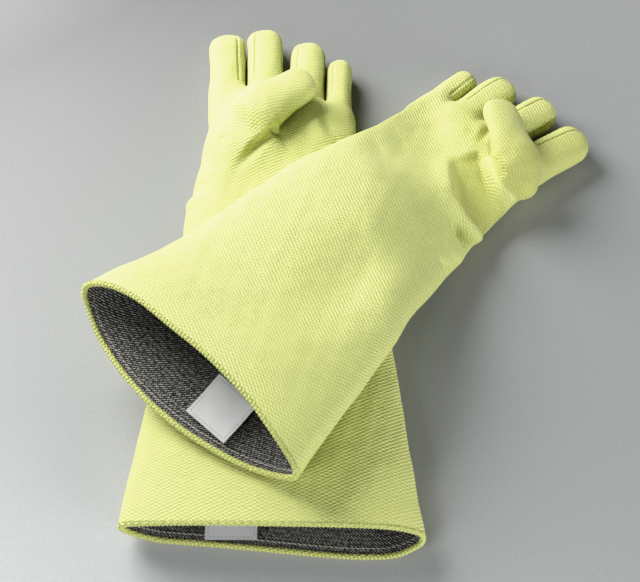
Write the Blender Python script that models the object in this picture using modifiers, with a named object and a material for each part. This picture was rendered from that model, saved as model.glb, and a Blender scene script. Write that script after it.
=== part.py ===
"""Pair of cryogenic gauntlet gloves, both palm up, the right glove lying across the left one.

Each glove is a woven outer shell (palm panel, back panel, fourchettes between the fingers and a
thumb gusset) over a quilted lining, with a rolled hem and a sewn-in label at the cuff mouth.
Millimetres inside the functions, metres in the meshes.  +Z up, origin at the middle of the left
glove's underside, +Y towards the left glove's fingertips.

Glove coordinates: u across towards the thumb, v along from the mouth, z up.  Section angles run
from 0 at the thumb side over the palm (top) to pi at the other side, then round the back
(underside).
"""
import bpy
import bmesh
import math
from dataclasses import dataclass
from mathutils import Vector

MM = 0.001

# ---------------------------------------------------------------- cloth, millimetres
OUTER_T = 2.2            # woven outer cloth
GAP = 2.0                # outer cloth to lining
LINER_T = 2.5            # lining
INSET = OUTER_T + GAP    # outer face of the lining behind the outer face of the shell
LINER_EASE = 0.3         # extra clearance of the linings at the knuckle and in the digits
SEAM = 0.5               # clearance either side of a sewn joint
PANEL_GAP = 0.012        # angle left free at each long edge of a panel, radians
EDGE_TURN = 0.05         # angle from a panel's edge to its first inner row, radians

# ---------------------------------------------------------------- cross sections
BODY_EXP = 2 / 2.6       # power of sine and cosine in the body's superellipse
DIGIT_EXP = 2 / 2.4      # the same for fingers, thumb and gusset
BELLY = 4.0              # the body's section reaches this far below z = 0, then is cut flat
MIDDLE_Z = 16.0          # height of a point inside the body
BODY_PANEL_STEPS, BODY_LINER_STEPS = 9, 18
DIGIT_PANEL_STEPS, DIGIT_LINER_STEPS = 6, 12
GAUNTLET_STEPS, HAND_STEPS = 7, 3

# ---------------------------------------------------------------- knuckle and thumb hinges
FLEX = 45.0              # widest finger flexion, degrees
THUMB_LIFT = 50.0        # the same for the thumb
FLEX_SPARE = 1.5         # added to each half of the relief, degrees
NOTCH = math.tan(math.radians(FLEX / 2 + FLEX_SPARE))
THUMB_NOTCH = math.tan(math.radians(THUMB_LIFT / 2 + FLEX_SPARE))
HINGE_Z = 14.0           # knuckle axis above the underside
NOTCH_Z = HINGE_Z - 3.0  # the palm-side knuckle relief opens from here up

# ---------------------------------------------------------------- hem and label
HEM_R = 3.1              # radius of the rolled hem
HEM_POINTS = 32
HEM_CLEAR = 0.6          # hem's inner side to the mouth line
PANEL_BACK = 1.3         # mouth line to the edge of the panels and lining
LABEL_W, LABEL_L, LABEL_T = 36.0, 34.0, 0.8
LABEL_U = 28.0           # middle of the label
LABEL_CLEAR = 0.8        # label above the lower lining
LABEL_STEPS = 4

# ---------------------------------------------------------------- digits
FINGER_LOW = 0.3         # underside of the fingers
FINGER_TIP = 0.95        # length of the rounded tip over the half width
THUMB_TIP = 0.9
THUMB_TAPER = 0.16
TIP_ANGLES = (32, 62, 90)            # stations round the tip, degrees
LAST_STATION = 2 + len(TIP_ANGLES)   # after the hinge and the halfway station
PALM_SHIFT = 0.5         # palm panels raised
BACK_SHIFT = -0.25       # finger back panels lowered
THUMB_BACK_SHIFT = -0.6
FOUR_H = 6.0             # half height of a fourchette strip at the finger's side
FOUR_END = 0.82          # the strip would close at this fraction of the stations,
FOUR_FADE = 0.35         # narrowing over this fraction
FOUR_CLEAR = 0.13        # strip to panel edge, radians
FOUR_ROWS = 4

# name: (top, taper, sides with a fourchette: +1 thumb side, -1 pinky side)
FINGER_SHAPE = {"index": (28.0, 0.06, (-1,)), "middle": (28.0, 0.06, (1, -1)),
                "ring": (27.0, 0.06, (1, -1)), "pinky": (25.0, 0.12, (1,))}

# stations back from the thumb's hinge: distance, width factor, crown height factor
GUSSET_STATIONS = [(0.5, 1.0, 1.0), (14, 1.08, 0.97), (30, 1.05, 0.80), (44, 0.82, 0.5),
                   (56, 0.42, 0.16)]
GUSSET_SIDES = 12
GUSSET_CLEAR = 0.9       # gusset above the palm panel
GUSSET_EDGE = 3.0        # most its lower edge rises at the sides
GUSSET_EDGE_SHARE = 0.4  # that rise as a share of the room under the thumb

# ---------------------------------------------------------------- right glove over the left one
DRAPE_H = 37.5           # height the right glove is carried at by the left one
DRAPE_IN = 10.0          # descent starts this far inside the left glove's edge
DRAPE_W = 85.0           # width over which the right glove comes down to the table

# ---------------------------------------------------------------- the two gloves
# v, half width, top height, side-fold height
LEFT_BODY = [(0, 104.5, 37, 17), (60, 96.5, 34, 16), (123, 88, 32, 15), (233, 74.5, 32, 15),
             (265, 71.5, 33, 15), (300, 65, 34, 15), (322, 61.5, 34, 15), (364, 61.5, 31, 14)]
RIGHT_BODY = [(0, 103, 50, 22), (60, 93, 46, 20), (137, 79, 41, 17), (226, 67, 36, 15),
              (258, 62.5, 37, 15), (285, 61.5, 36, 15), (320, 61.5, 31, 14)]

# name, place across the knuckle line (u), length, half width, lean towards the thumb (degrees)
LEFT_FINGERS = [("index", 45.0, 73.0, 17.2, 1.5), ("middle", 11.5, 79.0, 15.6, 0.0),
                ("ring", -21.0, 64.0, 15.3, 0.0), ("pinky", -48.5, 46.0, 11.2, 1.5)]
RIGHT_FINGERS = [("index", 44.0, 70.0, 17.0, 14.0), ("middle", 9.5, 73.5, 15.6, 9.0),
                 ("ring", -23.2, 66.0, 15.2, 5.0), ("pinky", -50.2, 49.0, 11.2, 3.0)]


def interpolate(rows, x):
    """Columns of a station table at x, held constant beyond its ends."""
    if x <= rows[0][0]:
        return rows[0][1:]
    for p, q in zip(rows, rows[1:]):
        if x <= q[0]:
            t = (x - p[0]) / (q[0] - p[0])
            return tuple(a + (b - a) * t for a, b in zip(p[1:], q[1:]))
    return rows[-1][1:]


def smooth(t):
    t = min(1.0, max(0.0, t))
    return t * t * (3 - 2 * t)


def signed_power(x, exponent):
    return math.copysign(abs(x) ** exponent, x)


def spread(first, last, count):
    """Even angles, with one extra near each end so that the sheet ends square to its edge."""
    inner = [first + (last - first) * i / count for i in range(1, count)]
    return [first, first + EDGE_TURN] + inner + [last - EDGE_TURN, last]


def full_turn(count):
    return [2 * math.pi * i / count for i in range(count)]


@dataclass
class Glove:
    name: str
    side: int               # -1: thumb to the left of the heading, 1: to the right
    start: tuple            # middle of the mouth, x and y
    mouth_heading: float    # degrees
    knuckle_heading: float
    body: list
    fingers: list
    lips: tuple             # v of the mouth line at the top, the sides and the bottom
    wrist: float            # v of the seam between gauntlet and hand
    label_v: float          # label's edge nearest the mouth
    draped: bool

    @property
    def knuckle(self):
        return self.body[-1][0]

    def heading(self, v):
        t = min(max(v / self.knuckle, 0.0), 1.0)
        turn = self.knuckle_heading - self.mouth_heading
        return math.radians(self.mouth_heading + turn * t)

    def centre(self, v):
        h = (self.heading(0) + self.heading(v)) / 2
        return self.start[0] + v * math.cos(h), self.start[1] + v * math.sin(h)

    def across(self, heading):
        """Unit vector towards the thumb side for a heading."""
        return self.side * math.sin(heading), -self.side * math.cos(heading)

    def lift(self, x, y):
        if not self.draped:
            return 0.0
        edge = interpolate(LEFT_BODY, y - LEFT.start[1])[0]
        return DRAPE_H * (1.0 - smooth((x - edge + DRAPE_IN) / DRAPE_W))

    def place(self, u, v, z):
        cx, cy = self.centre(v)
        ax, ay = self.across(self.heading(v))
        x, y = cx + u * ax, cy + u * ay
        return Vector((x, y, z + self.lift(x, y)))

    def mouth(self, angle):
        """v of the mouth line: the hem bows, and its two lips differ."""
        top, side, bottom = self.lips
        lip = top if math.sin(angle) >= 0 else bottom
        across = signed_power(math.cos(angle), BODY_EXP)
        return side + (lip - side) * (1 - across * across)

    def section(self, v, angle, inset=0.0):
        half, top, fold = interpolate(self.body, v)
        c, s = math.cos(angle), math.sin(angle)
        height = top - fold if s >= 0 else fold + BELLY
        z = fold + (height - inset) * signed_power(s, BODY_EXP)
        return (half - inset) * signed_power(c, BODY_EXP), max(z, inset)

    def palm_height(self, x, y):
        """Height of the palm panel at a point of the scene."""
        h = self.heading(self.knuckle)
        cx, cy = self.centre(self.knuckle)
        ax, ay = self.across(h)
        dx, dy = x - cx, y - cy
        v = self.knuckle + min(0.0, dx * math.cos(h) + dy * math.sin(h))
        half, top, fold = interpolate(self.body, v)
        across = min(0.985, abs(dx * ax + dy * ay) / half)
        dome = (1 - across ** (2 / BODY_EXP)) ** (BODY_EXP / 2)
        return fold + (top - fold) * dome + self.lift(x, y)


@dataclass
class Digit:
    """A finger or thumb: straight, on its own heading, from a base point on its hinge line."""
    glove: Glove
    name: str
    base: tuple
    hinge_heading: float    # radians
    lean: float             # towards the thumb, radians
    length: float
    half: float             # half width at the base
    low: float
    top: float
    tip: float              # length of the rounded tip
    taper: float
    notch: float            # slope of the hinge relief
    notch_z: float          # the relief opens from here up

    @property
    def heading(self):
        return self.hinge_heading - self.glove.side * self.lean

    @property
    def mid_z(self):
        return (self.top + self.low) / 2

    def place(self, u, d, z):
        """Scene point at u across and d along; fingers follow the drape, a thumb stays level."""
        ax, ay = self.glove.across(self.heading)
        x = self.base[0] + d * math.cos(self.heading) + u * ax
        y = self.base[1] + d * math.sin(self.heading) + u * ay
        carried = self.base if self.name == "thumb" else (x, y)
        return Vector((x, y, z + self.glove.lift(*carried)))

    def middle(self):
        return self.place(0, self.length * 0.4, self.mid_z)

    def relief(self, z):
        return max(0.0, z - self.notch_z) * self.notch

    def start(self, u, z):
        """Distance at which the digit starts, clear of its hinge line."""
        return (SEAM + self.relief(z) + u * math.sin(self.lean)) / math.cos(self.lean)

    def section(self, angle, d, inset):
        """Cross section at distance d, closing to a point at the tip."""
        tip = self.tip - inset
        run = self.length - inset - tip
        close = 1.0
        if d > run:
            q = min(1.0, (d - run) / tip)
            close = math.sqrt(max(0.0, 1 - q * q))
        width = (self.half - inset) * (1 - self.taper * d / self.length) * close
        height = ((self.top - self.low) / 2 - inset) * close ** 0.8
        return (width * signed_power(math.cos(angle), DIGIT_EXP),
                self.mid_z + height * signed_power(math.sin(angle), DIGIT_EXP))

    def rows(self, angles, inset=0.0, ease=0.0, shift=0.0):
        """Rows of points from hinge to tip; angles gives the section angles at a station."""
        tip = self.tip - inset
        run = self.length - inset - tip
        stations = [0.0, run * 0.5, run]
        stations += [run + tip * math.sin(math.radians(q)) for q in TIP_ANGLES]
        out = []
        for i, d in enumerate(stations):
            row = []
            for angle in angles(i):
                u, z = self.section(angle, d, inset)
                along = d if i else self.start(u, z) + ease
                row.append(self.place(u, along, z + shift))
            out.append(row)
        return out


LEFT = Glove("left", side=-1, start=(0.0, -221.0), mouth_heading=90, knuckle_heading=90,
             body=LEFT_BODY, fingers=LEFT_FINGERS, lips=(3.0, 6.0, -11.0),
             wrist=285.0, label_v=-1.0, draped=False)
RIGHT = Glove("right", side=1, start=(-57.6, -125.2), mouth_heading=48.4, knuckle_heading=45.0,
              body=RIGHT_BODY, fingers=RIGHT_FINGERS, lips=(20.0, 0.0, -21.0),
              wrist=258.0, label_v=-8.0, draped=True)

# ---------------------------------------------------------------- scene
for ob in list(bpy.data.objects):
    bpy.data.objects.remove(ob, do_unlink=True)
for me in list(bpy.data.meshes):
    bpy.data.meshes.remove(me)

COLLECTION = bpy.data.collections.new("cryogenic_gloves")
bpy.context.scene.collection.children.link(COLLECTION)


def material(name, colour, roughness):
    mat = bpy.data.materials.new(name)
    mat.use_nodes = True
    shader = mat.node_tree.nodes["Principled BSDF"]
    shader.inputs["Base Color"].default_value = (*colour, 1)
    shader.inputs["Roughness"].default_value = roughness
    return mat


YELLOW = material("aramid_weave", colour=(0.80, 0.84, 0.34), roughness=0.85)
HEM = material("hem_weave", colour=(0.76, 0.80, 0.30), roughness=0.85)
GREY = material("lining_twill", colour=(0.10, 0.10, 0.11), roughness=0.9)
WHITE = material("label_tape", colour=(0.86, 0.86, 0.84), roughness=0.7)


def link(name, data, mat):
    ob = bpy.data.objects.new(name, data)
    data.materials.append(mat)
    COLLECTION.objects.link(ob)
    return ob


def link_mesh(name, bm, mat):
    mesh = bpy.data.meshes.new(name)
    bm.to_mesh(mesh)
    bm.free()
    ob = link(name, mesh, mat)
    mesh.shade_smooth()
    mesh.set_sharp_from_angle(angle=math.radians(50))
    return ob


def loft(bm, rows, wrap):
    """Quads through rows of points; returns the rows of vertices."""
    verts = [[bm.verts.new(p * MM) for p in row] for row in rows]
    n = len(rows[0])
    for near, far in zip(verts, verts[1:]):
        for j in range(n if wrap else n - 1):
            k = (j + 1) % n
            bm.faces.new((near[j], near[k], far[k], far[j]))
    return verts


def sheet(name, rows, middle, thick, mat, wrap=False, pole=False):
    """Loft thickened inwards.  middle is inside the piece; pole merges the last row to a point."""
    bm = bmesh.new()
    verts = loft(bm, rows, wrap)
    if pole:
        bmesh.ops.remove_doubles(bm, verts=verts[-1], dist=1e-6)
    bm.normal_update()
    outward = sum(f.normal.dot(f.calc_center_median() - middle * MM) * f.calc_area()
                  for f in bm.faces)
    if outward < 0:
        bmesh.ops.reverse_faces(bm, faces=list(bm.faces))
    mod = link_mesh(name, bm, mat).modifiers.new("thickness", "SOLIDIFY")
    mod.thickness = thick * MM
    mod.offset = -1.0
    mod.use_even_offset = True


# ---------------------------------------------------------------- gauntlet and hand
def tube_rows(g, start, end, steps, angles, inset):
    """Rows of points on the glove body from the edge start(angle) to the edge end(angle)."""
    rows = []
    for i in range(steps + 1):
        row = []
        for angle in angles:
            v = start(angle) + (end(angle) - start(angle)) * i / steps
            u, z = g.section(v, angle, inset)
            row.append(g.place(u, v, z))
        rows.append(row)
    return rows


def tube(g, part, steps, middle_v, start, end, liner_end):
    """Palm panel, back panel and lining of one length of the body."""
    name = f"{g.name}_{part}"
    middle = g.place(0, middle_v, MIDDLE_Z)
    for face, first in (("palm", 0.0), ("back", math.pi)):
        angles = spread(first + PANEL_GAP, first + math.pi - PANEL_GAP, BODY_PANEL_STEPS)
        sheet(f"{name}_{face}_panel", tube_rows(g, start, end, steps, angles, 0),
              middle, OUTER_T, YELLOW)
    rows = tube_rows(g, start, liner_end, steps, full_turn(BODY_LINER_STEPS), INSET)
    sheet(name + "_lining", rows, middle, LINER_T, GREY, wrap=True)


def gauntlet(g):
    def end(angle):
        return g.wrist - SEAM

    tube(g, "gauntlet", GAUNTLET_STEPS, g.wrist / 2,
         lambda angle: g.mouth(angle) + PANEL_BACK, end, end)


def hand(g):
    def end(angle, inset=0.0):
        """Knuckle edge, cut back on the palm side to leave the flexing relief."""
        z = g.section(g.knuckle, angle, inset)[1]
        return g.knuckle - SEAM - max(0.0, z - NOTCH_Z) * NOTCH

    tube(g, "hand", HAND_STEPS, (g.wrist + g.knuckle) / 2,
         lambda angle: g.wrist + SEAM, end, lambda angle: end(angle, INSET) - LINER_EASE)


def cuff_hem(g):
    """Cord along the mouth, its back just clear of the panels and the lining."""
    name = g.name + "_cuff_hem"
    curve = bpy.data.curves.new(name, "CURVE")
    curve.dimensions = "3D"
    curve.bevel_depth = HEM_R * MM
    curve.bevel_resolution = 1
    spline = curve.splines.new("POLY")
    spline.points.add(HEM_POINTS - 1)
    for point, angle in zip(spline.points, full_turn(HEM_POINTS)):
        u, z = g.section(0.0, angle, HEM_R)
        point.co = (*(g.place(u, g.mouth(angle) - HEM_R - HEM_CLEAR, z) * MM), 1)
    spline.use_cyclic_u = True
    link(name, curve, HEM)


def label(g):
    """Tape lying just above the lower lining at the mouth."""
    z = INSET + LINER_T + LABEL_CLEAR + LABEL_T
    steps = range(LABEL_STEPS + 1)
    rows = [[g.place(LABEL_U + LABEL_W * (j / LABEL_STEPS - 0.5),
                     g.label_v + LABEL_L * i / LABEL_STEPS, z) for j in steps] for i in steps]
    below = g.place(LABEL_U, g.label_v + LABEL_L / 2, -40)
    sheet(g.name + "_label", rows, below, LABEL_T, WHITE)


# ---------------------------------------------------------------- fingers and thumb
def digit_pieces(digit, fourchettes=()):
    """Palm and back panels, lining, and fourchette strips on the sides facing another finger."""
    tag = f"{digit.glove.name}_{digit.name}"
    middle = digit.middle()
    half_height = (digit.top - digit.low) / 2
    wide = math.asin((FOUR_H / half_height) ** (1 / DIGIT_EXP))

    def edge(i, side):
        """Angle from the side line to the panel's edge, closing near the tip."""
        if side not in fourchettes:
            return 0.0
        return wide * max(0.0, min(1.0, (FOUR_END - i / LAST_STATION) / FOUR_FADE))

    def palm(i):
        return spread(edge(i, 1) + PANEL_GAP, math.pi - edge(i, -1) - PANEL_GAP,
                      DIGIT_PANEL_STEPS)

    def back(i):
        return spread(math.pi + edge(i, -1) + PANEL_GAP, 2 * math.pi - edge(i, 1) - PANEL_GAP,
                      DIGIT_PANEL_STEPS)

    back_shift = THUMB_BACK_SHIFT if digit.name == "thumb" else BACK_SHIFT
    for face, angles, shift in (("palm", palm, PALM_SHIFT), ("back", back, back_shift)):
        sheet(f"{tag}_{face}_panel", digit.rows(angles, shift=shift), middle, OUTER_T, YELLOW,
              pole=True)
    rows = digit.rows(lambda i: full_turn(DIGIT_LINER_STEPS), INSET + LINER_EASE, LINER_EASE)
    sheet(tag + "_lining", rows, middle, LINER_T, GREY, wrap=True, pole=True)

    for side in fourchettes:
        def strip(i):
            reach = max(0.0, edge(i, side) - FOUR_CLEAR)
            centre = 0.0 if side > 0 else math.pi
            return [centre - reach, centre, centre + reach]

        side_name = "thumb_side" if side > 0 else "pinky_side"
        sheet(f"{tag}_fourchette_{side_name}", digit.rows(strip)[:FOUR_ROWS], middle,
              OUTER_T, YELLOW)


def fingers(g):
    heading = g.heading(g.knuckle)
    ax, ay = g.across(heading)
    cx, cy = g.centre(g.knuckle)
    for name, u, length, half, lean in g.fingers:
        top, taper, fourchettes = FINGER_SHAPE[name]
        digit = Digit(g, name, (cx + u * ax, cy + u * ay), heading, math.radians(lean),
                      length, half, FINGER_LOW, top, half * FINGER_TIP, taper, NOTCH, NOTCH_Z)
        digit_pieces(digit, fourchettes)


def gusset(digit, root_turn):
    """Padded root of the thumb: a rounded wedge rising from the palm to the thumb's hinge.

    Its underside follows the palm panel, and it turns by root_turn degrees towards the wrist.
    """
    g = digit.glove
    carry = g.lift(*digit.base)
    rows = []
    for i, (back, width, crown) in enumerate(GUSSET_STATIONS):
        turn = math.radians(root_turn) * back / GUSSET_STATIONS[-1][0]
        heading = digit.heading + turn / 2
        ax, ay = g.across(digit.heading + turn)
        row = []
        for angle in full_turn(GUSSET_SIDES):
            c, s = math.cos(angle), math.sin(angle)
            u = digit.half * width * signed_power(c, DIGIT_EXP)
            z = digit.low + (digit.top - digit.low) * crown * max(0.0, s) ** DIGIT_EXP
            along = back if i else back + digit.relief(z)
            x = digit.base[0] - along * math.cos(heading) + u * ax
            y = digit.base[1] - along * math.sin(heading) + u * ay
            floor = g.palm_height(x, y) + GUSSET_CLEAR
            if s > 0.01:
                z = max(z + carry, floor)
            else:
                room = max(0.0, digit.low + carry - floor)
                rise = min(GUSSET_EDGE, GUSSET_EDGE_SHARE * room)
                z = floor + (1 - max(0.0, -s) ** 0.8) * rise
            row.append(Vector((x, y, z)))
        rows.append(row)
    bm = bmesh.new()
    verts = loft(bm, rows, wrap=True)
    bm.faces.new(verts[0])
    bm.faces.new(verts[-1])
    bmesh.ops.recalc_face_normals(bm, faces=list(bm.faces))
    bmesh.ops.triangulate(bm, faces=list(bm.faces))
    link_mesh(g.name + "_thumb_gusset", bm, YELLOW)


def thumb(g, base, heading, length, half, low, top, root_turn):
    """Thumb and its gusset; the hinge axis is at the thumb's mid height."""
    digit = Digit(g, "thumb", base, math.radians(heading), 0.0, length, half, low, top,
                  half * THUMB_TIP, THUMB_TAPER, THUMB_NOTCH, (low + top) / 2)
    digit_pieces(digit)
    gusset(digit, root_turn)


for glove in (LEFT, RIGHT):
    gauntlet(glove)
    hand(glove)
    cuff_hem(glove)
    label(glove)
    fingers(glove)

thumb(LEFT, base=(-14.0, 121.0), heading=38.0, length=50.0, half=21.0, low=35.0, top=61.0,
      root_turn=32.0)
thumb(RIGHT, base=(182.0, 72.0), heading=97.0, length=57.0, half=19.0, low=36.0, top=62.0,
      root_turn=-34.0)
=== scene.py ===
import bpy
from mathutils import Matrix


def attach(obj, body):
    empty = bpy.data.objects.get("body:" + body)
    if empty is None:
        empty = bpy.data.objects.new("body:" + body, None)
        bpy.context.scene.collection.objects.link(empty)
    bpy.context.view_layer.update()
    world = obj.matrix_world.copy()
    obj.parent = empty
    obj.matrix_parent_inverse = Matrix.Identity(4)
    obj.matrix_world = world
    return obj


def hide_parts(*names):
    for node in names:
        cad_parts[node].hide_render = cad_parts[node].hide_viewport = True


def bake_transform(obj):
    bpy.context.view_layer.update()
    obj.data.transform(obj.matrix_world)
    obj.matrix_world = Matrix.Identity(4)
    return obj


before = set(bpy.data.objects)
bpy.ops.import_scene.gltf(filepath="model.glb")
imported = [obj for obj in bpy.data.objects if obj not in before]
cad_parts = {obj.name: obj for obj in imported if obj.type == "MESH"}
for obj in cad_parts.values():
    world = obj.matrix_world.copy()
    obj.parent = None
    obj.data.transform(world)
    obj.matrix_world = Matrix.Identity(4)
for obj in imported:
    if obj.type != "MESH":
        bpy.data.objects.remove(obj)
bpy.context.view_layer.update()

# Pair of cryogenic gauntlet gloves, palm up, the right one lying across the left one.
# Every skin is worked out in glove coordinates: u across the glove towards the thumb, v from the
# cuff mouth to the fingertips, z up, in millimetres, and then laid out in the row frame in metres.
import bpy
import math
import numpy as np

MM = 0.001


# ---------------------------------------------------------------- driving numbers
SQ = 2.6
DRAPE_H, DRAPE_IN, DRAPE_W = 37.5, 10.0, 85.0
# v, half width towards the thumb, top height, side-fold height, half width towards the little finger
LEFT_BODY = [(0, 104.5, 37, 17, 104.5), (60, 96.5, 34, 16, 96.5), (123, 88, 32, 15, 88), (233, 73.8, 32, 15, 74.5),
             (258, 73.0, 33, 15, 72), (267, 72.2, 33, 15, 71), (276, 68.0, 33, 15, 70), (284, 65.0, 34, 15, 68.5),
             (296, 61, 34, 15, 66), (317, 57.5, 34, 15, 62.5), (342, 56, 33, 15, 62), (364, 57, 31, 14, 61.5)]
RIGHT_BODY = [(0, 103, 50, 22, 105), (29, 98.5, 48, 21, 95.5), (60, 94, 46, 20, 84.5), (77, 92.5, 45, 19, 81),
              (110, 87.5, 43, 18, 78), (137, 81, 41, 17, 76), (190, 70.5, 38, 16, 68), (226, 65.5, 36, 15, 58.5), (240, 62.5, 37, 15, 56),
              (262, 62.0, 37, 15, 55), (288, 61.0, 36, 15, 57.5), (320, 61.5, 31, 14, 56.5)]
# how far each lip of the mouth stands beyond the square cut, across the mouth from -1 to 1
LEFT_LIPS = ([(-1, -1), (-0.8, 2), (0, 3), (0.8, 4.5), (1, 6)],
             [(-1, -3), (-0.84, -11), (-0.51, -11), (-0.18, -8), (0.145, -4.5), (0.47, -1.5), (0.8, 1), (1, 6)])
RIGHT_LIPS = ([(-1, 0), (-0.9, 7), (-0.78, 11.5), (-0.56, 15.5), (-0.28, 15), (0.06, 16), (0.47, 12.3), (0.8, 4.5), (1, 0)],
              [(-1, 0), (-0.9, -7), (-0.73, -14.5), (-0.43, -22), (-0.16, -25.3), (0.18, -24.3), (0.53, -18), (0.8, -9), (1, 0)])
# name: base u, length, half width, lean towards the thumb (deg), top, taper, cut distance from the knuckle
LEFT_FINGERS = {"index": (43.4, 70.5, 14.9, 2.6, 28, -0.08, 14), "middle": (12.0, 76.3, 15.4, 2.0, 28, 0.0, 14),
                "ring": (-21.4, 62.8, 15.0, -1.2, 27, 0.02, 9), "pinky": (-48.9, 44.5, 10.9, -0.8, 25, 0.08, 5)}
RIGHT_FINGERS = {"index": (44.0, 64.5, 16.2, 14.0, 28, 0.04, 20), "middle": (9.5, 69.5, 15.0, 9.0, 28, 0.02, 20),
                 "ring": (-23.4, 62.0, 14.6, 5.0, 27, 0.02, 16), "pinky": (-48.0, 45.5, 11.0, 2.0, 25, 0.06, 12)}
# thumb: base (u, v, z of the hinge), direction in degrees from +v towards -u, length, half width, half height
LEFT_THUMB = dict(base=(12.0, 339.5, 43.5), turn=52.0, length=48.5, half=17.6, high=11.0, dip=5.5, tilt=0.0,
                  web=(18.0, 22.0, 10.0, 16.0), root=[(30.0, 314.0, 27.0, 18.0), (39.0, 288.0, 18.0, 15.0)])
RIGHT_THUMB = dict(base=(41.8, 314.0, 40.5), turn=58.0, length=55.0, half=15.8, high=9.8, dip=4.5, tilt=0.22,
                   web=(11.0, 13.0, -3.0, 0.0), root=[(53.5, 306.5, 34.0, 12.8), (60.0, 304.0, 24.0, 9.0)])


def interp(rows, column, x):
    """Smoothed reading of one column of a table along the glove."""
    xs = np.array([r[0] for r in rows], float)
    ys = np.array([r[column] for r in rows], float)
    fine = np.arange(-60.0, 520.0, 2.0)
    raw = np.interp(fine, xs, ys)
    first = ys[0] + (fine - xs[0]) * (ys[1] - ys[0]) / (xs[1] - xs[0])
    raw = np.where(fine < xs[0], first, raw)
    w = np.exp(-0.5 * (np.arange(-12, 13) / 3.0) ** 2)
    w /= w.sum()
    soft = np.convolve(np.pad(raw, 12, mode="edge"), w, mode="valid")
    return np.interp(x, fine, soft)


def smooth(t):
    t = np.clip(t, 0.0, 1.0)
    return t * t * (3 - 2 * t)


def smin(a, b, k):
    return np.minimum(a, b) - np.maximum(k - np.abs(a - b), 0.0) ** 2 / (4 * k + 1e-9)


class Glove:
    def __init__(self, name, side, start, heading0, heading1, kv, body, fingers, thumb, lips, draped, ends):
        self.name, self.side, self.start = name, side, start
        self.h0, self.h1, self.kv = math.radians(heading0), math.radians(heading1), kv
        self.body, self.fingers, self.thumb, self.lips, self.draped, self.ends = body, fingers, thumb, lips, draped, ends

    def lift(self, x, y):
        if not self.draped:
            return np.zeros_like(x)
        edge = interp(LEFT_BODY, 1, y + 221.0)
        return DRAPE_H * (1.0 - smooth((x - edge + DRAPE_IN) / DRAPE_W))

    def place(self, p):
        """Glove coordinates to the row frame, in millimetres."""
        u, v, z = p[..., 0], p[..., 1], p[..., 2]
        vk = np.minimum(v, self.kv)
        h = self.h0 + (self.h1 - self.h0) * np.clip(vk / self.kv, 0.0, 1.0)
        m = np.where(vk > 0, (self.h0 + h) / 2, self.h0)
        over = np.maximum(v - self.kv, 0.0)
        cx = self.start[0] + vk * np.cos(m) + over * np.cos(h)
        cy = self.start[1] + vk * np.sin(m) + over * np.sin(h)
        x = cx + u * self.side * np.sin(h)
        y = cy - u * self.side * np.cos(h)
        return np.stack([x, y, z + self.lift(x, y)], -1)

    def half(self, u, v):
        return np.where(u >= 0, interp(self.body, 1, v), interp(self.body, 4, v))

    def slide(self, p):
        """Cuts the tube's square mouth to its bowed edge: the two lips are different lengths."""
        zc = interp(self.body, 3, p[..., 1])
        soft = smooth((p[..., 2] - zc + 5.0) / 10.0)
        un = np.clip(p[..., 0] / self.half(p[..., 0], p[..., 1]), -1, 1)
        fine = np.linspace(-1, 1, 81)
        w = np.exp(-0.5 * (np.arange(-8, 9) / 3.0) ** 2)
        w /= w.sum()
        lips = []
        for rows in self.lips:
            raw = np.interp(fine, [r[0] for r in rows], [r[1] for r in rows])
            soften = np.convolve(np.pad(raw, 8, mode="reflect", reflect_type="odd"), w, mode="valid")
            lips.append(np.interp(un, fine, soften))
        m = lips[1] + (lips[0] - lips[1]) * soft
        q = p.copy()
        q[..., 1] = p[..., 1] + m * (1 - smooth(p[..., 1] / 90.0))
        return q


LEFT = Glove("left", -1, (0.0, -221.0), 90, 90, 364.0, LEFT_BODY, LEFT_FINGERS, LEFT_THUMB, LEFT_LIPS, False,
             ((-36.0, 361.0), (26.0, 374.5)))
RIGHT = Glove("right", 1, (-57.6, -125.2), 48.4, 45.0, 320.0, RIGHT_BODY, RIGHT_FINGERS, RIGHT_THUMB, RIGHT_LIPS,
              True, ((-36.0, 328.0), (26.0, 338.0)))


# ---------------------------------------------------------------- the shape as a distance field
def body_field(g, U, V, Z):
    top, zc = (interp(g.body, i, V) for i in (2, 3))
    hw = g.half(U, V)
    zz = Z - zc
    h = np.where(zz >= 0, top - zc, zc + 4.0)
    a = np.abs(U) / hw + 1e-4
    b = np.abs(zz) / h + 1e-4
    n = (a ** SQ + b ** SQ) ** (1 / SQ)
    grad = np.sqrt((a ** (SQ - 1) / hw) ** 2 + (b ** (SQ - 1) / h) ** 2) / n ** (SQ - 1)
    d = (n - 1) / grad
    (u1, v1), (u2, v2) = g.ends
    end = V - (v1 + (v2 - v1) * (U - u1) / (u2 - u1))
    d = -smin(-d, -end, 14.0)
    return d


def finger_local(g, name, U, V):
    off, length, half, lean, top, taper, cut = g.fingers[name]
    s, c = math.sin(math.radians(lean)), math.cos(math.radians(lean))
    d = (U - off) * s + (V - g.kv) * c
    x = (U - off) * c - (V - g.kv) * s
    return d, x


def finger_field(g, name, U, V, Z):
    off, length, half, lean, top, taper, cut = g.fingers[name]
    d, x = finger_local(g, name, U, V)
    w = half * (1 - taper * np.clip(d / length, 0, 1))
    # the finger is a little fuller just before its tip
    w = w + 0.5 * np.exp(-((d - length + 20) / 12.0) ** 2)
    zc, hh = (top + 0.3) / 2, (top - 0.3) / 2
    tip = half * 0.98
    sag = 1.0 - 0.10 * smooth(d / length)
    rho = ((np.abs(x) / w) ** 2.4 + (np.abs(Z - zc * sag) / (hh * sag)) ** 2.4) ** (1 / 2.4)
    q = np.maximum(0.0, (d - (length - tip)) / tip)
    back = np.maximum(0.0, (-14.0 - d) / 12.0)
    f = (rho ** 2.6 + q ** 2.6 + back ** 2.6) ** (1 / 2.6)
    return (f - 1) * 12.0


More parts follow.
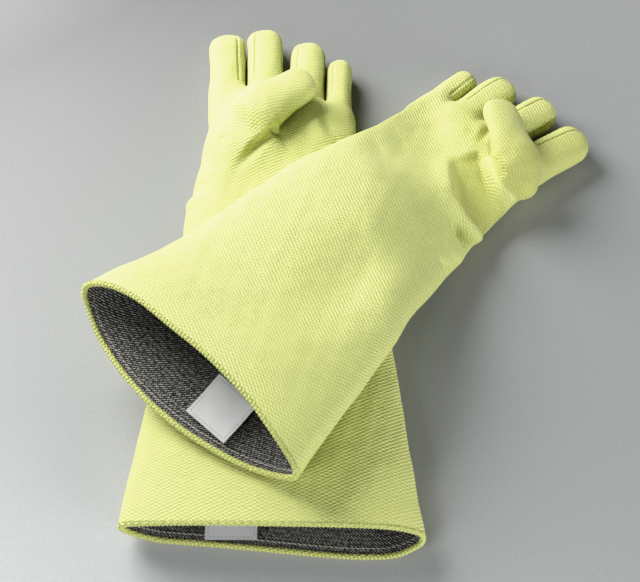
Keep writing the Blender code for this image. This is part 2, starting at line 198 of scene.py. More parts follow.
def thumb_local(g, U, V):
    t = g.thumb
    a = math.radians(t["turn"])
    du, dv = U - t["base"][0], V - t["base"][1]
    d = -du * math.sin(a) + dv * math.cos(a)
    x = du * math.cos(a) + dv * math.sin(a)
    return d, x


def thumb_field(g, U, V, Z):
    t = g.thumb
    d, x = thumb_local(g, U, V)
    k = t["half"] / t["high"]
    w = t["half"] * (1 - 0.12 * np.clip(d / t["length"], 0, 1))
    zc = t["base"][2] - 1.0 * np.clip(d / t["length"], 0, 1) - t["tilt"] * np.clip(x, -20.0, 20.0)
    rho = ((np.abs(x) / w) ** 2.3 + (np.abs(Z - zc) / t["high"]) ** 2.3) ** (1 / 2.3)
    tip = t["half"] * 0.98
    q = np.maximum(0.0, (d - (t["length"] - tip)) / tip)
    back = np.maximum(0.0, (-d - 4.0) / 14.0)
    f = (rho ** 2.5 + q ** 2.5 + back ** 2.5) ** (1 / 2.5)
    best = (f - 1) * 13.0
    # the root: a string of flattened balls running down into the palm
    pts = [(t["base"][0], t["base"][1], t["base"][2], t["half"])] + t["root"]
    for (u1, v1, z1, r1), (u2, v2, z2, r2) in zip(pts, pts[1:]):
        eu, ev = u2 - u1, v2 - v1
        s = np.clip(((U - u1) * eu + (V - v1) * ev) / (eu * eu + ev * ev), 0, 1)
        r = r1 + (r2 - r1) * s
        zz = z1 + (z2 - z1) * s
        dist = np.sqrt((U - u1 - eu * s) ** 2 + (V - v1 - ev * s) ** 2 + ((Z - zz) * k) ** 2) - r
        best = smin(best, dist / 1.25, 8.0)
    return best


def apart(a, b, share, gap=1.9):
    """Positive in the thin layer where two shapes touch, so that they stay two pieces of cloth; nothing at a share of 0."""
    return np.where(share > 0, gap * smooth(share) - np.abs(a - b), -9.0)


def field(g, U, V, Z):
    body = body_field(g, U, V, Z)
    fingers, each = None, []
    for name in g.fingers:
        f = finger_field(g, name, U, V, Z)
        each.append((name, f))
        fingers = f if fingers is None else np.minimum(fingers, f)
    d, x = thumb_local(g, U, V)
    # the palm gives way under the free part of the thumb
    t = g.thumb
    dd = np.clip(d, 6.0, t["length"] - 14.0)
    near = np.exp(-((d - dd) ** 2 + x ** 2) / (2 * 15.0 ** 2)) * smooth(d / 12.0)
    body = body + t["dip"] * near * smooth((Z - 20.0) / 8.0)
    hand = smin(body, fingers, 7.0)
    thumb = thumb_field(g, U, V, Z)
    # it runs smoothly into the hand on its upper side and meets the palm at a crease on its lower side
    low_k, high_k, early, reach = t["web"]
    reach = reach * smooth((x + 4.0) / 12.0)
    web = (low_k + (high_k - low_k) * smooth((x + 2.0) / 12.0)) * (1 - smooth((d + early - reach) / 14.0)) + 0.01
    both = smin(hand, thumb, web)
    # past its root the thumb only rests on the hand, and each finger only rests on the next
    both = np.maximum(both, apart(hand, thumb, (d - 18.5) / 4.0))
    for i, j in zip(each, each[1:]):
        past = np.minimum(*(finger_local(g, k, U, V)[0] - g.fingers[k][6] - 1.0 for k, f in (i, j)))
        both = np.maximum(both, np.where(np.minimum(i[1], j[1]) < thumb, apart(i[1], j[1], past / 5.0), -9.0))
    floor = -Z
    return -smin(-both, -floor, 2.5)


# ---------------------------------------------------------------- surface nets
def nets(F, origin, step):
    S = F < 0
    nx, ny, nz = F.shape
    cnt = np.zeros((nx - 1, ny - 1, nz - 1), np.int8)
    offs = [(i, j, k) for i in (0, 1) for j in (0, 1) for k in (0, 1)]
    for i, j, k in offs:
        cnt += S[i:nx - 1 + i, j:ny - 1 + j, k:nz - 1 + k]
    active = (cnt > 0) & (cnt < 8)
    index = np.full(active.shape, -1, np.int64)
    cells = np.argwhere(active)
    index[active] = np.arange(len(cells))
    corner = {o: F[cells[:, 0] + o[0], cells[:, 1] + o[1], cells[:, 2] + o[2]] for o in offs}
    acc = np.zeros((len(cells), 3))
    num = np.zeros(len(cells))
    for a in offs:
        for axis in range(3):
            if a[axis]:
                continue
            b = list(a)
            b[axis] = 1
            fa, fb = corner[a], corner[tuple(b)]
            m = (fa < 0) != (fb < 0)
            t = np.where(m, fa / np.where(m, fa - fb, 1.0), 0.0)
            p = np.tile(np.array(a, float), (len(cells), 1))
            p[:, axis] += t
            acc += p * m[:, None]
            num += m
    verts = origin + step * (cells + acc / num[:, None])
    quads = []
    for axis in range(3):
        lo = [slice(None)] * 3
        hi = [slice(None)] * 3
        lo[axis], hi[axis] = slice(0, -1), slice(1, None)
        change = S[tuple(lo)] != S[tuple(hi)]
        e = np.argwhere(change)
        b, c = [(1, 2), (2, 0), (0, 1)][axis]
        keep = (e[:, b] > 0) & (e[:, c] > 0) & (e[:, b] < F.shape[b] - 1) & (e[:, c] < F.shape[c] - 1)
        e = e[keep]
        inside = S[e[:, 0], e[:, 1], e[:, 2]]
        ring = []
        for db, dc in ((-1, -1), (0, -1), (0, 0), (-1, 0)):
            q = e.copy()
            q[:, b] += db
            q[:, c] += dc
            ring.append(index[q[:, 0], q[:, 1], q[:, 2]])
        ring = np.stack(ring, 1)
        ring[~inside] = ring[~inside][:, ::-1]
        quads.append(ring)
    quads = np.concatenate(quads)
    return verts, quads[(quads >= 0).all(1)], cells


def relax(verts, quads, fixed, rounds):
    """Taubin smoothing: evens out the cells without shrinking the skin."""
    n = len(verts)
    e = np.concatenate([quads[:, [0, 1]], quads[:, [1, 2]], quads[:, [2, 3]], quads[:, [3, 0]]])
    e = np.concatenate([e, e[:, ::-1]])
    deg = np.bincount(e[:, 0], minlength=n)[:, None].astype(float)
    free = (~fixed)[:, None]
    for r in range(rounds):
        for lam in (0.55, -0.57):
            s = np.stack([np.bincount(e[:, 0], weights=verts[e[:, 1], i], minlength=n) for i in range(3)], 1)
            verts = verts + lam * (s / np.maximum(deg, 1) - verts) * free
    return verts


def normals_of(verts, quads):
    a, b, c, d = (verts[quads[:, i]] for i in range(4))
    fn = np.cross(c - a, d - b)
    vn = np.stack([np.bincount(quads.ravel(), weights=np.repeat(fn[:, i], 4), minlength=len(verts)) for i in range(3)], 1)
    return vn / np.maximum(np.linalg.norm(vn, axis=1, keepdims=True), 1e-12)


def to_line(u, v, line):
    """Distance to a polyline in the (u, v) plane, signed to its left, and the share of its length passed."""
    pts = np.array(line, float)
    seg = np.linalg.norm(np.diff(pts, axis=0), axis=1)
    run = np.concatenate([[0], np.cumsum(seg)])
    best = np.full(u.shape, 1e9)
    share = np.zeros(u.shape)
    sign = np.zeros(u.shape)
    for i in range(len(seg)):
        e = (pts[i + 1] - pts[i]) / seg[i]
        du, dv = u - pts[i][0], v - pts[i][1]
        t = np.clip(du * e[0] + dv * e[1], 0, seg[i])
        dist = np.hypot(du - e[0] * t, dv - e[1] * t)
        m = dist < best
        best = np.where(m, dist, best)
        share = np.where(m, (run[i] + t) / run[-1], share)
        sign = np.where(m, np.sign(e[0] * dv - e[1] * du), sign)
    return best, share, sign


def noise3(p, scale, seed):
    """Slow rolling unevenness: a few skewed waves, about -1 to 1."""
    rng = np.random.RandomState(seed)
    out = np.zeros(len(p))
    for i in range(9):
        k = rng.normal(size=3)
        k *= (0.6 + 0.9 * rng.rand()) * 2 * math.pi / scale / np.linalg.norm(k)
        out += np.sin(p @ k + rng.rand() * 6.283)
    return out / 3.6


def lay_cloth(p, quads, start, panel):
    """Evens out the cloth coordinates over swells and folds so that the weave keeps its size there."""
    n = normals_of(p, quads)
    if (n[:, 2] * (p[:, 2] > 25)).sum() < 0:
        n = -n
    tv = np.array([0.0, 1.0, 0.0]) - n[:, 1:2] * n
    tv /= np.maximum(np.linalg.norm(tv, axis=1, keepdims=True), 1e-6)
    tu = np.cross(tv, n)
    e = np.concatenate([quads[:, [0, 1]], quads[:, [1, 2]], quads[:, [2, 3]], quads[:, [3, 0]]])
    e = np.sort(e, 1)
    e = np.unique(e, axis=0)
    a, b = e.T
    step = p[b] - p[a]
    good = np.minimum(n[a, 2], n[b, 2])
    w = 0.01 + smooth((good + 0.55) / 0.5) * (1 - smooth((np.abs(n[a, 1]) - 0.75) / 0.2))
    w = w * (np.abs(start[b, 0] - start[a, 0]) < 30.0) * np.where(panel[a] == panel[b], 1.0, 0.004)
    count = len(p)
    out = start.copy()
    anchor = 2e-4

    def apply(s):
        f = w * (s[b] - s[a])
        return np.bincount(b, f, count) - np.bincount(a, f, count) + anchor * s

    for c, t in ((0, tu), (1, tv)):
        want = ((t[a] + t[b]) * 0.5 * step).sum(1)
        f = w * want
        rhs = np.bincount(b, f, count) - np.bincount(a, f, count) + anchor * start[:, c]
        s = start[:, c].copy()
        r = rhs - apply(s)
        d = r.copy()
        rr = r @ r
        for k in range(220):
            ad = apply(d)
            al = rr / max(d @ ad, 1e-30)
            s += al * d
            r -= al * ad
            new = r @ r
            d = r + new / max(rr, 1e-30) * d
            rr = new
        out[:, c] = s
    return out


def strained(p, quads, fab):
    """How far the weave is from its own size at each vertex, 0 where it lies true to 1 where it would smear."""
    a, b = (np.concatenate([quads[:, i] for i in order]) for order in ((0, 1, 2, 3), (1, 2, 3, 0)))
    count = len(p)
    share = np.maximum(np.bincount(a, None, count) + np.bincount(b, None, count), 1)
    ratio = np.linalg.norm(fab[b, :2] - fab[a, :2], axis=1) / np.maximum(np.linalg.norm(p[b] - p[a], axis=1), 1e-3)
    off = np.minimum(np.abs(np.log(np.maximum(ratio, 0.05))), 1.5)
    s = (np.bincount(a, off, count) + np.bincount(b, off, count)) / share
    for k in range(5):
        s = 0.4 * s + 0.6 * (np.bincount(a, s[b], count) + np.bincount(b, s[a], count)) / share
    return smooth((s - 0.16) / 0.30)


# folds: (polyline of (u, v), depth in mm (minus is a ridge), half width to its left and right at the start,
# how much wider it is at its end, share of its length it takes to fade in and out)
LEFT_FOLDS = [
    ([(-1.0, 320.5), (2.8, 317.8), (10.0, 311.5), (17.3, 305.7), (29.1, 291.0), (38.0, 278.0)], 5.5, 1.9, 2.4, 2.6, 0.04, 0.80),
    ([(-2.0, 325.5), (8.0, 318.0), (19.5, 310.0), (32.0, 295.0), (41.0, 281.0)], -1.2, 3.6, 2.4, 1.8, 0.10, 0.7),
    ([(-25.0, 345.0), (-31.0, 334.0), (-38.0, 318.0), (-40.5, 305.0)], -1.7, 8.0, 5.0, 1.2, 0.3, 0.5),
    ([(-31.0, 345.0), (-38.0, 332.0), (-44.0, 316.0)], 1.8, 5.0, 5.0, 1.0, 0.4, 0.5),
    ([(49.0, 310.0), (44.0, 313.5), (37.0, 315.0)], 0.7, 1.5, 1.5, 1.0, 0.4, 0.5),
    ([(76.0, 270.0), (60.0, 275.0), (40.0, 272.0)], 1.8, 5.0, 4.0, 1.6, 0.05, 0.8),
    ([(74.0, 262.0), (60.0, 264.0), (44.0, 262.0)], -1.2, 4.0, 4.0, 1.6, 0.05, 0.8),
]
RIGHT_FOLDS = [
    ([(-6.0, 280.0), (5.7, 270.8), (19.5, 257.7), (30.7, 249.9), (48.7, 245.1), (66.0, 247.0)], -4.2, 6.0, 10.0, 1.0, 0.25, 0.02),
    ([(70.0, 237.0), (60.0, 233.5), (50.0, 233.0), (40.0, 237.0)], 11.0, 2.8, 4.8, 1.0, 0.02, 0.5),
    ([(74.0, 205.0), (64.0, 201.5), (56.0, 201.5)], 4.5, 2.2, 3.6, 1.0, 0.02, 0.7),
    ([(70.0, 221.0), (58.0, 218.0), (44.0, 221.0)], -1.8, 5.0, 6.0, 1.3, 0.05, 0.7),
    ([(14.0, 313.0), (23.1, 306.1), (34.4, 297.9), (51.8, 290.2), (63.0, 288.0)], -1.6, 5.0, 4.0, 1.0, 0.20, 0.20),
    ([(6.0, 335.0), (6.5, 322.0), (8.5, 312.0), (12.0, 306.0)], 3.2, 3.6, 4.5, 1.0, 0.3, 0.6),
    ([(-2.0, 313.0), (-12.0, 306.0), (-26.0, 303.0)], -1.4, 5.0, 5.0, 1.3, 0.3, 0.6),
    ([(-46.0, 268.0), (-28.0, 258.0), (-8.0, 262.0)], 1.2, 4.0, 8.0, 1.0, 0.4, 0.5),
    ([(-50.0, 243.0), (-30.0, 234.0), (-8.0, 240.0)], 1.3, 4.0, 9.0, 1.0, 0.4, 0.5),
    ([(-40.0, 300.0), (-30.0, 296.0), (-16.0, 299.0)], 0.9, 3.0, 6.0, 1.0, 0.4, 0.5),
]
LEFT.folds, RIGHT.folds = LEFT_FOLDS, RIGHT_FOLDS
# broad swells that the lining follows too, in the same form as the folds
LEFT.swells = []
RIGHT.swells = [([(36.0, 60.0), (36.0, 110.0), (37.0, 170.0), (30.0, 215.0)], 7.5, 26.0, 22.0, 1.0, 0.45, 0.40)]


def sunk_by(folds, u, v):
    shift = np.zeros(u.shape)
    for line, depth, left, right, wider, f0, f1 in folds:
        dist, share, sign = to_line(u, v, line)
        fade = smooth(share / max(f0, 1e-3)) * smooth((1 - share) / max(f1, 1e-3))
        width = np.where(sign > 0, left, right) * (1 + (wider - 1) * share)
        shift += depth * np.exp(-(dist / width) ** 2) * fade
    return shift


# hollows: (outline in (u, v), share of the height above the side line that is lost, distance over which the wall falls)
LEFT.hollows = []
RIGHT.hollows = [([(0.0, 277.0), (13.0, 304.0), (22.0, 303.0), (34.4, 295.0), (51.8, 286.5), (64.0, 285.0), (110.0, 285.0), (110.0, 247.0),
                   (66.0, 247.0), (48.7, 246.0), (30.7, 251.0), (19.5, 259.0), (5.7, 272.0)], 0.86, 9.0)]


def inside(u, v, outline):
    """How far inside an outline a point lies, 0 outside it."""
    ring = outline + outline[:1]
    dist, share, sign = to_line(u, v, ring)
    odd = np.zeros(u.shape, bool)
    for (u1, v1), (u2, v2) in zip(ring, ring[1:]):
        if v1 == v2:
            continue
        cross = ((v1 > v) != (v2 > v)) & (u < (u2 - u1) * (v - v1) / (v2 - v1) + u1)
        odd ^= cross
    return np.where(odd, dist, 0.0)


def skin(g):
    """The whole outer cloth of one glove: vertices in the row frame, quads, cloth coordinates, labels."""
    step = np.array([1.15, 1.6, 1.15])
    span = max(r[1] for r in g.body) + 4.0
    tips = max(g.kv + f[1] for f in g.fingers.values()) + 5.0
    high = 64.0
    shape = (int(2 * span / step[0]) + 2, int(tips / step[1]) + 2, int((high + 3) / step[2]) + 2)
    origin = np.array([-span, 0.0, -2.4])
    U = (origin[0] + step[0] * np.arange(shape[0]))[:, None, None]
    V = (origin[1] + step[1] * np.arange(shape[1]))[None, :, None]
    Z = (origin[2] + step[2] * np.arange(shape[2]))[None, None, :]
    F = np.broadcast_to(field(g, U, V, Z), shape).copy()
    verts, quads, cells = nets(F, origin, step)
    edge = cells[:, 1] == 0
    verts[edge, 1] = 0.0
    verts = relax(verts, quads, edge, 4)
    n = normals_of(verts, quads)
    u, v, z = verts.T

    # which digit each vertex belongs to, and how far along it it is
    free = {}
    shares = np.stack([finger_field(g, k, u, v, z) for k in g.fingers] + [thumb_field(g, u, v, z)])
    near = np.argmin(shares, 0)
    names = list(g.fingers) + ["thumb"]
    label = np.zeros(len(verts), int)
    for i, k in enumerate(names[:-1]):
        d, x = finger_local(g, k, u, v)
        label[(near == i) & (d > g.fingers[k][6])] = i + 1
    d, x = thumb_local(g, u, v)
    hand = np.minimum(body_field(g, u, v, z), shares[:4].min(0))
    on_thumb = shares[4] < hand
    label[on_thumb & (d > 20.5) & (z > 24)] = 5
    label[(label == 5) & (~on_thumb)] = 0

    # cloth coordinates: distance round the tube from the middle of the palm, and along it
    top, zc = (interp(g.body, i, v) for i in (2, 3))
    hw = g.half(u, v)
    ang = np.arctan2((z - zc) / np.where(z >= zc, top - zc, zc + 4.0), u / hw)
    table_a = np.linspace(-math.pi, math.pi, 361)
    ref_hw, ref_top, ref_zc = 80.0, 34.0, 15.0
    rel = np.zeros(len(verts))
    arc_u = []
    for q in table_a:
        c, s = math.cos(q), math.sin(q)
        r = (abs(c) ** SQ + abs(s) ** SQ) ** (-1 / SQ)
        arc_u.append((r * c * ref_hw, r * s * ((ref_top - ref_zc) if s >= 0 else ref_zc + 4)))
    arc_u = np.array(arc_u)
    arc = np.concatenate([[0], np.cumsum(np.linalg.norm(np.diff(arc_u, axis=0), axis=1))])
    mid = np.interp(math.pi / 2, table_a, arc)
    around = np.interp(ang, table_a, arc)
    total = arc[-1]
    s_body = mid - around
    s_body = (s_body + total / 2) % total - total / 2
    s_body = s_body * (hw / ref_hw) ** 1.0
    fab = np.stack([s_body, v, np.full(len(verts), 40.0)], 1)

    def digit_cloth(dl, x, w, zmid, hh, lat_u, lat_v, seam_at, mask_w, both):
        """Carries the palm's weave over a digit's rounded sides, and measures to its side seams."""
        a = np.arctan2((z - zmid) / hh, x / w)
        ta = np.linspace(-math.pi, math.pi, 181)
        rr = (np.abs(np.cos(ta)) ** 2.4 + np.abs(np.sin(ta)) ** 2.4) ** (-1 / 2.4)
        px, pz = rr * np.cos(ta) * 15.0, rr * np.sin(ta) * 13.5
        ar = np.concatenate([[0], np.cumsum(np.hypot(np.diff(px), np.diff(pz)))])
        m0 = np.interp(math.pi / 2, ta, ar)
        tot = ar[-1]
        sx = ((m0 - np.interp(a, ta, ar)) + tot / 2) % tot - tot / 2
        sx = sx * w / 15.0
        extra = sx - x
        seam = np.full(len(u), 40.0)
        for sgn, inside in both:
            seam = np.where(x * sgn > 0, np.abs(np.abs(sx) - (seam_at - inside)), seam)
        return np.stack([u + lat_u * extra, v + lat_v * extra, seam], 1)

    for i, k in enumerate(names[:-1]):
        off, length, half, lean, ftop, taper, cut = g.fingers[k]
        d, x = finger_local(g, k, u, v)
        w = half * (1 - taper * np.clip(d / length, 0, 1))
        if g.draped:
            sides = {"index": ((-1, 9.0),), "middle": ((-1, 8.0), (1, -4.0)), "ring": ((-1, 7.5), (1, -4.0)), "pinky": ((1, 5.5),)}[k]
        else:
            sides = {"index": ((-1, 4.0),), "middle": ((1, 6.0), (-1, -4.0)), "ring": ((1, 5.5), (-1, -4.0)), "pinky": ((1, 4.5),)}[k]
        s_, c_ = math.sin(math.radians(lean)), math.cos(math.radians(lean))
        own = digit_cloth(d, x, w, (ftop + 0.3) / 2, (ftop - 0.3) / 2, c_, -s_, half, None, sides)
        wgt = smooth((d + 2.0) / 16.0) * (near == i) * (label != 5) * (~(on_thumb & (z > 30)))
        seam = own[:, 2]
        fab[:, :2] = fab[:, :2] * (1 - wgt[:, None]) + own[:, :2] * wgt[:, None]
        mark = (near == i) & (d > cut - 8) & (~(on_thumb & (z > 30)))
        fab[:, 2] = np.where(mark, np.minimum(fab[:, 2], seam + 40 * (1 - smooth((d - cut + 8) / 10.0))), fab[:, 2])
    t = g.thumb
    d, x = thumb_local(g, u, v)
    a = math.radians(t["turn"])
    own = digit_cloth(d, x, t["half"], t["base"][2], t["high"], math.cos(a), math.sin(a), 99.0, None, ())
    wgt = smooth((d + 8.0) / 16.0) * on_thumb
    fab[:, :2] = fab[:, :2] * (1 - wgt[:, None]) + own[:, :2] * wgt[:, None]

    # folds and creases on the upper side
    upper = smooth((z - 10.0) / 9.0) * (label != 5)
    shift = -sunk_by(g.folds, u, v)
    p = verts + n * (shift * upper)[:, None]
    lift_share = np.clip((z - zc) / (top - zc), 0.0, 1.0)
    p[:, 2] -= sunk_by(g.swells, u, v) * lift_share
    if g.draped:
        # the palm falls away towards the little finger, and on the thumb's side beyond the crest
        away = np.maximum(24.0 - u, 0.0)
        away = smin(0.27 * away * away / (away + 8.0), 15.0, 6.0)
        p[:, 2] -= away * lift_share * smooth((v - 180.0) / 65.0) * (1 - smooth((v - 280.0) / 55.0)) * (label != 5) * (
            1 - smooth((4.0 - shares[4]) / 4.0))
    # painted shade: the hollow, the root of the thumb above it and the forefinger lie darker than these lights leave them
    painted_shade = np.zeros(len(verts))
    if g.draped:
        d, x = thumb_local(g, u, v)
        painted_shade = np.where(on_thumb, 0.62 * (1 - smooth((d - 6.0) / 34.0)), 0.0)
        d, x = finger_local(g, "index", u, v)
        painted_shade = np.maximum(painted_shade, np.where((near == 0) & ~on_thumb, 0.36 * smooth((d + 2.0) / 16.0), 0.0))
    for outline, depth, wall in g.hollows:
        painted_shade = np.maximum(painted_shade, 0.72 * smooth(inside(u, v, outline) / 7.0) * smooth((z - 6.0) / 10.0) * ~on_thumb)
        fall = smooth(inside(u, v, outline) / wall) * (0.12 + 0.88 * np.clip((u - 6.0) / 54.0, 0.0, 1.0))
        fall = fall * (label != 5) * (1 - smooth((9.0 - shares[4]) / 9.0))
        p[:, 2] -= depth * fall * np.maximum(p[:, 2] - zc - 1.0, 0.0)
    p -= n * (0.9 * np.exp(-(fab[:, 2] / 1.25) ** 2))[:, None]
    slack = smooth((v - 4.0) / 20.0)
    p += n * ((0.55 * noise3(verts, 46.0, 3 + g.draped) + 0.22 * noise3(verts, 17.0, 11 + g.draped)) * slack
              * smooth((z - 2.0) / 8.0))[:, None]
    p[:, 2] = np.maximum(p[:, 2], 0.0)
    fab[:, :2] = lay_cloth(p, quads, fab[:, :2], on_thumb & g.draped)
    fab = np.column_stack([fab * MM, strained(p, quads, fab), painted_shade])
    placed = g.place(g.slide(p)) * MM
    return placed, quads, fab, label, names


# ---------------------------------------------------------------- meshes
def build(name, verts, faces, fab, normals=None, smooth_shade=True):
    mesh = bpy.data.meshes.new(name)
    used = np.unique(faces)
    remap = np.full(len(verts), -1)
    remap[used] = np.arange(len(used))
    mesh.from_pydata(verts[used].tolist(), [], remap[faces].tolist())
    if fab is not None:
        at = mesh.attributes.new("fab", "FLOAT_VECTOR", "POINT")
        at.data.foreach_set("vector", fab[used, :3].astype(np.float32).ravel())
        # the extra columns are the weave's strain and the mark for painted shade
        for c, kind in zip(range(3, fab.shape[1]), ("strain", "painted_shade")):
            at = mesh.attributes.new(kind, "FLOAT", "POINT")
            at.data.foreach_set("value", np.ascontiguousarray(fab[used, c], np.float32))
    if smooth_shade:
        mesh.shade_smooth()
    if normals is not None:
        mesh.normals_split_custom_set_from_vertices(normals[used].tolist())
    mesh.update()
    ob = bpy.data.objects.new(name, mesh)
    bpy.context.scene.collection.objects.link(ob)
    return ob


class Nodes:
    def __init__(self, name):
        self.mat = bpy.data.materials.new(name)
        self.mat.use_nodes = True
        self.t = self.mat.node_tree
        self.bsdf = self.t.nodes["Principled BSDF"]

    def new(self, kind, **props):
        n = self.t.nodes.new(kind)
        for k, v in props.items():
            setattr(n, k, v)
        return n

    def put(self, socket, value):
        if hasattr(value, "is_output") or isinstance(value, bpy.types.NodeSocket):
            self.t.links.new(value, socket)
        else:
            socket.default_value = value

    def math(self, op, a, b=None, c=None, clamp=False):
        n = self.new("ShaderNodeMath", operation=op, use_clamp=clamp)
        for i, x in enumerate((a, b, c)):
            if x is not None:
                self.put(n.inputs[i], x)
        return n.outputs[0]

    def mix(self, f, a, b, blend="MIX"):
        n = self.new("ShaderNodeMix", data_type="RGBA", blend_type=blend)
        self.put(n.inputs[0], f)
        self.put(n.inputs[6], a)
        self.put(n.inputs[7], b)
        return n.outputs[2]

    def ramp(self, x, a, b, to0=0.0, to1=1.0, kind="SMOOTHSTEP"):
        n = self.new("ShaderNodeMapRange", interpolation_type=kind)
        self.put(n.inputs[0], x)
        for i, val in ((1, a), (2, b), (3, to0), (4, to1)):
            n.inputs[i].default_value = val
        return n.outputs[0]

    def noise(self, vector, scale, detail=2.0):
        n = self.new("ShaderNodeTexNoise")
        self.put(n.inputs["Vector"], vector)
        n.inputs["Scale"].default_value = scale
        n.inputs["Detail"].default_value = detail
        return n.outputs[0]

    def cloth(self):
        at = self.new("ShaderNodeAttribute", attribute_name="fab")
        sep = self.new("ShaderNodeSeparateXYZ")
        self.put(sep.inputs[0], at.outputs["Vector"])
        flat = self.new("ShaderNodeCombineXYZ")
        self.put(flat.inputs[0], sep.outputs[0])
        self.put(flat.inputs[1], sep.outputs[1])
        return flat.outputs[0], sep.outputs[0], sep.outputs[1], sep.outputs[2]


def aramid(name, high, low, deep, column=2.65, row=1.3, relief=0.00052):
    """Plain-woven aramid: staggered yarn crowns, longer across the glove than along it."""
    m = Nodes(name)
    vec, x, y, seam = m.cloth()
    wob = m.math("MULTIPLY", m.math("SUBTRACT", m.noise(vec, 55.0, 1.0), 0.5), 0.0022)
    wob2 = m.math("MULTIPLY", m.math("SUBTRACT", m.noise(vec, 260.0, 1.0), 0.5), 0.0007)
    xx = m.math("ADD", m.math("ADD", x, wob), wob2)
    yy = m.math("ADD", m.math("SUBTRACT", y, wob), wob2)
    cx = m.math("COSINE", m.math("MULTIPLY", xx, math.pi / (column * MM)))
    cy = m.math("COSINE", m.math("MULTIPLY", yy, math.pi / (row * MM)))
    h = m.math("MULTIPLY", cx, cy)
    strain = m.new("ShaderNodeAttribute", attribute_name="strain").outputs["Fac"]
    true = m.math("SUBTRACT", 1.0, strain)
    crown = m.math("ADD", m.math("MULTIPLY", m.ramp(h, -0.55, 0.75), true), m.math("MULTIPLY", strain, 0.62))
    fibre = m.math("MULTIPLY", m.noise(vec, 1500.0, 2.0), m.math("MULTIPLY_ADD", true, 0.7, 0.3))
    # seam: a drawn-in line with gathers either side
    line = m.math("SUBTRACT", 1.0, m.ramp(seam, 0.0001, 0.0009))
    lip = m.math("MULTIPLY", m.ramp(seam, 0.0005, 0.0016), m.math("SUBTRACT", 1.0, m.ramp(seam, 0.0016, 0.0040)))
    height = m.math("ADD", crown, m.math("MULTIPLY", fibre, 0.30))
    height = m.math("ADD", height, m.math("MULTIPLY", line, -0.75))
    height = m.math("ADD", height, m.math("MULTIPLY", lip, 0.32))
    bump = m.new("ShaderNodeBump")
    bump.inputs["Strength"].default_value = 1.0
    bump.inputs["Distance"].default_value = relief
    m.put(bump.inputs["Height"], height)
    tone = m.noise(vec, 14.0, 3.0)
    # painted shade: the yarn crowns take the light colour and the gaps between them the darker one
    col = m.mix(crown, (*low, 1), (*high, 1))
    col = m.mix(m.ramp(tone, 0.35, 0.75, 0.0, 0.16), col, (*low, 1))
    col = m.mix(m.math("MULTIPLY", line, 0.45), col, (*deep, 1))
    # painted shade: the hollow, the root of the thumb and the forefinger of the right glove are coloured towards a deep
    # olive
    painted_shade = m.new("ShaderNodeAttribute", attribute_name="painted_shade").outputs["Fac"]
    col = m.mix(m.math("MULTIPLY", painted_shade, 0.60), col, (0.45, 0.44, 0.05, 1))
    # painted shade in the creases
    crease = m.new("ShaderNodeAmbientOcclusion", samples=5)
    crease.inputs["Distance"].default_value = 0.016
    col = m.mix(m.ramp(crease.outputs["AO"], 0.25, 0.85, 0.62, 0.0), col, (0.34, 0.33, 0.05, 1))
    # the odd dark speck of lint caught in the weave
    speck = m.new("ShaderNodeTexVoronoi")
    m.put(speck.inputs["Vector"], vec)
    speck.inputs["Scale"].default_value = 26.0
    sp = m.math("SUBTRACT", 1.0, m.ramp(speck.outputs["Distance"], 0.006, 0.014))
    col = m.mix(m.math("MULTIPLY", sp, 0.55), col, (0.16, 0.13, 0.05, 1))
    m.put(m.bsdf.inputs["Base Color"], col)
    m.bsdf.inputs["Roughness"].default_value = 0.62
    m.bsdf.inputs["Specular IOR Level"].default_value = 0.55
    m.bsdf.inputs["Sheen Weight"].default_value = 0.20
    m.bsdf.inputs["Sheen Roughness"].default_value = 0.6
    m.bsdf.inputs["Sheen Tint"].default_value = (1.0, 1.0, 0.75, 1)
    m.put(m.bsdf.inputs["Normal"], bump.outputs[0])
    return m.mat


def twill():
    """Grey lining: pale dashes of weft over near-black warp, stepping along a diagonal."""
    m = Nodes("lining_twill")
    vec, x, y, edge = m.cloth()
    wob = m.math("MULTIPLY", m.math("SUBTRACT", m.noise(vec, 70.0, 1.0), 0.5), 0.0018)
    tilt = math.radians(40)
    xx = m.math("ADD", m.math("ADD", m.math("MULTIPLY", x, math.cos(tilt)), m.math("MULTIPLY", y, math.sin(tilt))), wob)
    yy = m.math("ADD", m.math("SUBTRACT", m.math("MULTIPLY", y, math.cos(tilt)), m.math("MULTIPLY", x, math.sin(tilt))), wob)
    row = m.math("MULTIPLY", yy, 1 / (1.5 * MM))
    k = m.math("FLOOR", row)
    across = m.math("ADD", m.math("MULTIPLY", xx, 1 / (4.4 * MM)), m.math("MULTIPLY", k, 0.42))
    fx = m.math("FRACT", across)
    fy = m.math("FRACT", row)
    dash = m.math("MULTIPLY", m.ramp(m.math("ABSOLUTE", m.math("SUBTRACT", fx, 0.5)), 0.47, 0.36),
                  m.ramp(m.math("ABSOLUTE", m.math("SUBTRACT", fy, 0.5)), 0.36, 0.12))
    vary = m.ramp(m.noise(vec, 420.0, 2.0), 0.25, 0.7)
    dash2 = m.math("MULTIPLY", dash, vary)
    bump = m.new("ShaderNodeBump")
    bump.inputs["Distance"].default_value = 0.0005
    m.put(bump.inputs["Height"], m.math("ADD", dash, m.math("MULTIPLY", m.noise(vec, 1500.0, 2.0), 0.3)))
    col = m.mix(dash2, (0.018, 0.018, 0.016, 1), (0.56, 0.55, 0.50, 1))
    # painted shade: the lining darkens towards near black deeper into the glove
    col = m.mix(m.ramp(y, 0.010, 0.060, 0.0, 0.85), col, (0.012, 0.012, 0.012, 1))
    # painted shade where the mouth closes in
    shut = m.new("ShaderNodeAmbientOcclusion", samples=6)
    shut.inputs["Distance"].default_value = 0.05
    col = m.mix(m.ramp(shut.outputs["AO"], 0.12, 0.50, 0.88, 0.0), col, (0.010, 0.010, 0.010, 1))
    m.put(m.bsdf.inputs["Base Color"], col)
    m.bsdf.inputs["Roughness"].default_value = 0.9
    m.bsdf.inputs["Specular IOR Level"].default_value = 0.2
    m.put(m.bsdf.inputs["Normal"], bump.outputs[0])
    return m.mat


